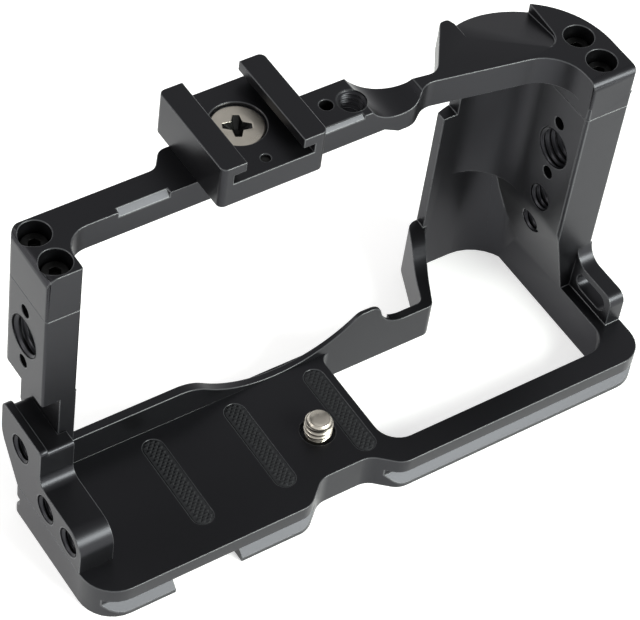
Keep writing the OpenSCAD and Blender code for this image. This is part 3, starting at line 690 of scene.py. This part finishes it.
@dataclass(frozen=True)
class TappedHole:
    """One threaded hole: its thread, its mouth, its direction inwards and its length."""

    kind: Hole
    mouth: Point
    inwards: Axis
    length: float
    through: bool = True
    seat: float = 0.004

    def open_up(self, piece: bpy.types.Object) -> None:
        """Widens the hole in a piece to the thread's outer radius."""
        outer = self.kind.value[1]
        end = self.length + (OVER if self.through else 0.0)
        bar = Shape.revolved("cutter", [(0, -OVER), (outer, -OVER), (outer, end), (0, end)], 72)
        bar.data.transform(self.inwards.matrix(self.mouth))
        Shape.cut(piece, bar)

    def thread(self, name: str, finish: Finish) -> bpy.types.Object:
        """Makes the hole's thread in its place."""
        minor, major, pitch = self.kind.value
        made = Thread(minor, major + self.seat, pitch, self.length, True).build(name, finish)
        made.data.transform(self.inwards.matrix(self.mouth))
        return made


@dataclass
class MilledPiece:
    """One milled aluminium piece: a copy of its CAD node with broken edges and real threads."""

    node: str
    holes: list[TappedHole] = field(default_factory=list)
    edge_width: float = 0.2
    finish: Finish = Anodised()
    edge: Finish = EdgeAnodised()

    def build(self, nodes: dict[str, bpy.types.Object]) -> bpy.types.Object:
        """Makes the piece and puts it in its node's place.

        Args:
            nodes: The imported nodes.

        Returns:
            The finished piece.
        """
        piece = Shape.merged_copy(nodes[self.node], self.node + "_milled")
        for hole in self.holes:
            hole.open_up(piece)
        Shape.break_edges(piece, self.edge_width, self.finish, self.edge)
        if self.holes:
            threads = [hole.thread(f"thread_{i}", self.finish) for i, hole in enumerate(self.holes)]
            piece = Shape.join(piece.name + "_part", [piece, *threads])
        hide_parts(self.node)
        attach(piece, "frame")
        log.info("%s: %d faces, %d threads", piece.name, len(piece.data.polygons), len(self.holes))
        return piece


@dataclass
class SmallNode:
    """A small CAD node that is right as it is and gets broken edges and a better finish."""

    node: str
    body: str
    finish: Finish
    edge_width: float = 0.1

    def build(self, nodes: dict[str, bpy.types.Object]) -> bpy.types.Object:
        """Makes the piece and puts it in its node's place."""
        piece = Shape.merged_copy(nodes[self.node], self.node + "_piece")
        Shape.break_edges(piece, self.edge_width, self.finish)
        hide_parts(self.node)
        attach(piece, self.body)
        log.info("%s: %d faces", piece.name, len(piece.data.polygons))
        return piece


@dataclass
class CameraScrew:
    """Captive camera screw: rolled thread, dished end, relief, neck and slotted head."""

    thread_r: float = 3.175
    root_r: float = 2.5
    core_r: float = 2.42
    pitch: float = 1.27
    top: float = 4.4
    cap_h: float = 0.62
    start: float = -0.3
    relief_r: float = 2.8125
    relief_low: float = -1.8
    neck_r: float = 2.45
    head_r: float = 6.5
    head_low: float = -7.7
    head_t: float = 2.0
    slot_w: float = 1.6
    slot_d: float = 1.0
    edge_width: float = 0.1
    edge_angle: float = 40.0

    def build(self) -> bpy.types.Object:
        """Makes the screw and puts it in its node's place."""
        finish = Nickel()
        head_top = self.head_low + self.head_t
        body = Shape.revolved("screw_core", [
            (0, self.top - 0.22), (1.2, self.top - 0.2), (1.95, self.top - 0.1),
            (2.12, self.top), (2.3, self.top - 0.02), (2.74, self.top - 0.5),
            (2.78, self.top - self.cap_h), (self.core_r, self.top - 0.8),
            (self.core_r, self.start), (self.relief_r, self.start),
            (self.relief_r, self.relief_low),
            (self.neck_r, self.relief_low), (self.neck_r, head_top), (self.head_r - 0.2, head_top),
            (self.head_r, head_top - 0.2), (self.head_r, self.head_low + 0.3),
            (self.head_r - 0.3, self.head_low), (0, self.head_low)])
        slot = bmesh.new()
        bmesh.ops.create_cube(slot, size=1.0)
        mesh = bpy.data.meshes.new("slot")
        slot.to_mesh(mesh)
        slot.free()
        mesh.transform(Matrix.Diagonal((3 * self.head_r * MM, self.slot_w * MM,
                                        2 * self.slot_d * MM, 1)))
        mesh.transform(Matrix.Translation((0, 0, self.head_low * MM)))
        Shape.cut(body, Shape.add("slot", mesh))
        Shape.break_edges(body, self.edge_width, finish, angle=self.edge_angle)
        length = self.top - self.cap_h - self.start
        thread = Thread(self.root_r, self.thread_r, self.pitch, length, False, 96)
        coil = thread.build("screw_thread", RootShadedNickel())
        coil.data.transform(Matrix.Translation((0, 0, self.start * MM)))
        piece = Shape.join("camera_screw_piece", [body, coil])
        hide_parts("camera_screw")
        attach(piece, "screw")
        log.info("%s: %d faces", piece.name, len(piece.data.polygons))
        return piece


@dataclass
class ShoeScrew:
    """Countersunk screw in the shoe's floor, with a tapered cross recess whose walls are painted
    dark as shade.
    """

    head_r: float = 5.7
    rim: float = 0.6
    cone: float = 3.2
    thread_r: float = 2.5
    length: float = 10.0
    crown: float = 0.05
    wing: float = 3.1
    wing_w: float = 0.68
    depth: float = 1.9
    floor_r: float = 0.75
    floor_w: float = 0.4
    tip_d: float = 0.35
    flare: float = 0.35
    rise: float = 0.5
    turn: float = -26.0
    # Depth below the rim from which the recess walls are painted dark as shade
    shade_from_d: float = 0.16
    edge_width: float = 0.09
    edge_angle: float = 30.0

    def recess(self) -> bpy.types.Object:
        """Makes the cutter of the recess: four tapered wings round a pointed core."""
        work = bmesh.new()
        rings = []
        for height, reach, half in ((self.rise, self.wing + self.flare, self.wing_w + 0.06),
                                    (0.0, self.wing, self.wing_w),
                                    (-self.depth, self.floor_r, self.floor_w)):
            ring = []
            for quarter in range(4):
                turn = Matrix.Rotation(math.radians(self.turn + 90 * quarter), 3, "Z")
                corner = half + (reach - half) * 0.2
                for x, y in ((reach, -half), (reach, half), (corner, corner)):
                    spot = turn @ Vector((x * MM, y * MM, height * MM))
                    ring.append(work.verts.new(spot))
            rings.append(ring)
        tip = work.verts.new((0, 0, (-self.depth - self.tip_d) * MM))
        count = len(rings[0])
        for high, low in zip(rings, rings[1:]):
            for i in range(count):
                j = (i + 1) % count
                work.faces.new((high[i], high[j], low[j], low[i]))
        work.faces.new(rings[0])
        for i in range(count):
            work.faces.new((rings[-1][i], rings[-1][(i + 1) % count], tip))
        bmesh.ops.recalc_face_normals(work, faces=work.faces)
        mesh = bpy.data.meshes.new("recess")
        work.to_mesh(mesh)
        work.free()
        return Shape.add("recess", mesh)

    def build(self) -> bpy.types.Object:
        """Makes the screw and puts it in its node's place."""
        finish = Nickel()
        low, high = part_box("shoe_screw")
        piece = Shape.revolved("shoe_screw_piece", [
            (0, 0), (self.head_r * 0.6, -self.crown * 0.4), (self.head_r - 0.25, -self.crown),
            (self.head_r, -0.25), (self.head_r, -self.rim), (self.thread_r, -self.cone),
            (self.thread_r, -self.length), (0, -self.length)])
        Shape.cut(piece, self.recess())
        Shape.break_edges(piece, self.edge_width, finish, angle=self.edge_angle)
        # The recess walls get the black finish as painted shade, standing in for the shadow inside
        # the recess
        piece.data.materials.append(Blackened().material())
        for face in piece.data.polygons:
            place = face.center / MM
            if -self.cone < place.z < -self.shade_from_d and place.xy.length < self.wing + 0.3:
                face.material_index = 1
        middle = (low + high) / 2
        piece.data.transform(Matrix.Translation((middle.x, middle.y, high.z)))
        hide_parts("shoe_screw")
        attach(piece, "frame")
        log.info("%s: %d faces", piece.name, len(piece.data.polygons))
        return piece


@dataclass
class GripPad:
    """One rubber pad with a field of small moulded diamonds on its face."""

    node: str
    pitch: float = 1.35
    stud: float = 0.26
    rim: float = 0.35
    tip_share: float = 0.1
    foot_share: float = 0.49
    edge_width: float = 0.12

    def studs(self, low: Vector, high: Vector) -> bpy.types.Object:
        """Makes the diamonds over the pad's rounded outline.

        Args:
            low: The pad's lowest corner.
            high: The pad's highest corner.

        Returns:
            The studs as a plain mesh, round the pad's middle.
        """
        half = (high.x - low.x) / 2 - self.rim * MM
        reach = (high.y - low.y) / 2 - self.rim * MM
        made = MeshTree(self.node + "_tree", {
            "Pitch": self.pitch * MM, "Height": self.stud * MM, "Half Width": half,
            "Straight": reach - half})
        net = made.net
        pitch = made.size("Pitch")
        across, along = (2 * int(size / (self.pitch * MM)) + 3 for size in (2 * half, 2 * reach))
        grid = net.add("GeometryNodeMeshGrid", {}, {
            "Size X": pitch * ((across - 1) / 2), "Size Y": pitch * ((along - 1) / 2),
            "Vertices X": across, "Vertices Y": along}, "Mesh")
        place = net.add("GeometryNodeInputPosition")
        x = net.add("ShaderNodeSeparateXYZ", {}, {0: place}, "X")
        y = net.add("ShaderNodeSeparateXYZ", {}, {0: place}, "Y")
        between = ((x + y) / pitch + 0.25).fraction().above(0.5)
        beyond = (y.plain() - made.size("Straight")).most(0.0)
        outside = (x * x + beyond * beyond).root().above(made.size("Half Width"))
        points = net.add("GeometryNodeMeshToPoints", {}, {"Mesh": grid})
        kept = net.add("GeometryNodeDeleteGeometry", {"domain": "POINT"},
                       {"Geometry": points, "Selection": between + outside})
        cone = net.add("GeometryNodeMeshCone", {"fill_type": "NGON"}, {
            "Vertices": 4, "Radius Top": pitch * self.tip_share,
            "Radius Bottom": pitch * self.foot_share, "Depth": made.size("Height")}, "Mesh")
        spread = net.add("GeometryNodeInstanceOnPoints", {}, {"Points": kept, "Instance": cone})
        made.end(spread, PadRubber())
        return made.run(self.node + "_studs")

    def build(self, nodes: dict[str, bpy.types.Object]) -> bpy.types.Object:
        """Makes the pad and puts it in its node's place."""
        low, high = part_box(self.node)
        block = Shape.merged_copy(nodes[self.node], self.node + "_block")
        for vertex in block.data.vertices:
            if vertex.co.z > high.z - SAME_POINT:
                vertex.co.z -= self.stud * MM
        Shape.break_edges(block, self.edge_width, PadRubber())
        studs = self.studs(low, high)
        studs.data.transform(Matrix.Translation(((low.x + high.x) / 2, (low.y + high.y) / 2,
                                                 high.z - self.stud * MM)))
        piece = Shape.join(self.node + "_piece", [block, studs])
        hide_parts(self.node)
        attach(piece, "frame")
        PadRubber().slot
        log.info("%s: %d faces", piece.name, len(piece.data.polygons))
        return piece


@dataclass
class Studio:
    """Pale floor, soft lamps and the camera of the photograph. Lengths are in metres."""

    camera_place: Point = (-0.241186, -0.282539, 0.465747)
    azimuth: float = -39.9234
    elevation: float = 48.9535
    roll: float = 9.239
    lens: float = 156.081
    sensor: float = 36.0
    aim_z: float = 0.03
    key_power: float = 15.5
    key_colour: Colour = (0.95, 1.0, 0.93)
    side_power: float = 4.0
    side_colour: Colour = (1.0, 0.98, 0.94)
    floor_z: float = -0.0091
    floor_r: float = 12.0
    floor_tone: float = 0.82
    floor_glow: float = 0.56
    white_height: float = 0.05
    dim_height: float = 0.62
    overhead: float = 0.44

    def camera(self) -> None:
        """Makes the camera with the photograph's place, tilt and lens."""
        a, e, r = (math.radians(v) for v in (self.azimuth, self.elevation, self.roll))
        back = Vector((math.sin(a) * math.cos(e), -math.cos(a) * math.cos(e), math.sin(e)))
        right = (-back).cross(Vector((0, 0, 1))).normalized()
        up = right.cross(-back)
        turned = math.cos(r) * right + math.sin(r) * up
        raised = -math.sin(r) * right + math.cos(r) * up
        data = bpy.data.cameras.new("camera")
        data.lens, data.sensor_width = self.lens, self.sensor
        data.clip_start, data.clip_end = 0.01, 60.0
        made = bpy.data.objects.new("camera", data)
        rows = Matrix((turned, raised, back)).transposed()
        made.matrix_world = Matrix.Translation(self.camera_place) @ rows.to_4x4()
        bpy.context.scene.collection.objects.link(made)
        bpy.context.scene.camera = made

    def lamp(self, name: str, direction: Point, distance: float, size: tuple[float, float],
             power: float, colour: Colour) -> None:
        """Adds a soft box that faces the object.

        Args:
            name: The lamp's name.
            direction: Where it hangs, seen from the object.
            distance: How far away it hangs.
            size: Its width and height.
            power: Its power in watts.
            colour: Its colour.
        """
        data = bpy.data.lights.new(name, "AREA")
        data.shape, (data.size, data.size_y) = "RECTANGLE", size
        data.energy, data.color = power, colour
        made = bpy.data.objects.new(name, data)
        away = Vector(direction).normalized()
        made.location = away * distance + Vector((0, 0, self.aim_z))
        made.rotation_mode = "QUATERNION"
        made.rotation_quaternion = away.to_track_quat("Z", "Y")
        bpy.context.scene.collection.objects.link(made)

    def floor(self) -> None:
        """Makes the pale floor, white to the camera and in reflections, with a soft shadow."""
        mesh = bpy.data.meshes.new("floor")
        work = bmesh.new()
        bmesh.ops.create_circle(work, cap_ends=True, radius=self.floor_r, segments=96)
        work.to_mesh(mesh)
        work.free()
        mesh.transform(Matrix.Translation((0, 0, self.floor_z)))
        made = Shape.add("floor", mesh)
        material = bpy.data.materials.new("pale_floor")
        material.use_nodes = True
        material.node_tree.nodes.clear()
        net = Net(material.node_tree)
        lit = net.add("ShaderNodeBsdfDiffuse", {}, {"Color": (*[self.floor_tone] * 3, 1.0)})
        glow = net.add("ShaderNodeEmission", {}, {"Color": (1.0, 1.0, 1.0, 1.0),
                                                  "Strength": self.floor_glow})
        both = net.add("ShaderNodeAddShader", {}, {0: lit, 1: glow})
        path = net.add("ShaderNodeLightPath", out="Is Camera Ray")
        gloss = Sock(net, path.socket.node.outputs["Is Glossy Ray"])
        clear = Sock(net, path.socket.node.outputs["Is Transmission Ray"])
        shown = net.add("ShaderNodeMath", {"operation": "ADD", "use_clamp": True},
                        {0: path + gloss, 1: clear})
        mix = net.add("ShaderNodeMixShader", {}, {0: shown, 1: lit, 2: both})
        net.add("ShaderNodeOutputMaterial", {}, {"Surface": mix})
        made.data.materials.append(material)

    def sky(self) -> None:
        """Makes the world: white round the horizon and dim overhead, as in a studio."""
        world = bpy.data.worlds.new("studio")
        bpy.context.scene.world = world
        world.use_nodes = True
        world.node_tree.nodes.clear()
        net = Net(world.node_tree)
        place = net.add("ShaderNodeTexCoord", out="Generated")
        height = net.add("ShaderNodeSeparateXYZ", {}, {0: place}, "Z")
        strength = height.eased(self.white_height, self.dim_height, 1.0, self.overhead)
        light = net.add("ShaderNodeBackground", {}, {"Color": (1.0, 1.0, 1.0, 1.0),
                                                     "Strength": strength})
        net.add("ShaderNodeOutputWorld", {}, {"Surface": light})

    def build(self) -> None:
        """Sets up the whole studio."""
        bpy.context.scene.view_settings.view_transform = "Standard"
        self.camera()
        self.floor()
        self.sky()
        self.lamp("key", (0.42, -0.75, 0.50), 1.0, (0.62, 0.42), self.key_power,
                  self.key_colour)
        self.lamp("side", (-0.85, 0.3, 0.42), 1.1, (0.5, 0.6), self.side_power,
                  self.side_colour)


def milled_pieces() -> list[MilledPiece]:
    """The four milled pieces with the threaded holes that each holds, in millimetres."""
    post_face, wall_face, column_face, leaning_face, bracket_face = -61.3, 77.9, 66.5, 68.4, -63.3
    bar_top, bracket_z = 68.2, 5.0
    frame = MilledPiece("base_frame", [
        TappedHole(Hole.THREE_EIGHTHS, (post_face, 20.9, 43.792), Axis.X, 7.9),
        TappedHole(Hole.THREE_EIGHTHS, (wall_face, 16.3, 40.768), Axis.MINUS_X, 11.4),
        TappedHole(Hole.QUARTER, (column_face, 16.779, 24.64), Axis.X, 5.4, False),
        TappedHole(Hole.QUARTER, (leaning_face, 19.458, 14.0), Axis.X, 3.5, False)])
    bar = MilledPiece("top_bar", [
        TappedHole(Hole.QUARTER, (17.3, 26.999, bar_top), Axis.MINUS_Z, 6.8)])
    bracket = MilledPiece("side_bracket", [
        TappedHole(Hole.QUARTER, (bracket_face, 17.2, 12.8), Axis.X, 6.05),
        TappedHole(Hole.QUARTER, (bracket_face, -3.1, bracket_z), Axis.X, 8.0),
        TappedHole(Hole.QUARTER, (bracket_face, 6.3, bracket_z), Axis.X, 8.0)])
    return [frame, bar, MilledPiece("cold_shoe"), bracket]


def main() -> None:
    """Builds the cage in its studio, piece by piece."""
    logging.basicConfig(level=logging.INFO, format="%(name)s %(message)s")
    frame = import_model()
    nodes = frame["nodes"]
    Studio().build()
    for part in milled_pieces():
        part.build(nodes)
    CameraScrew().build()
    ShoeScrew().build()
    for name in ("left_pad", "middle_pad", "right_pad"):
        GripPad(name).build(nodes)
    SmallNode("screw_washer", "carriage", Nylon()).build(nodes)
    for name in ("shoe_stop_pin", "bracket_front_screw", "bracket_rear_screw", "left_front_screw",
                 "left_rear_screw", "right_front_screw", "right_rear_screw"):
        SmallNode(name, "frame", Blackened()).build(nodes)


if __name__ == "__main__":
    main()
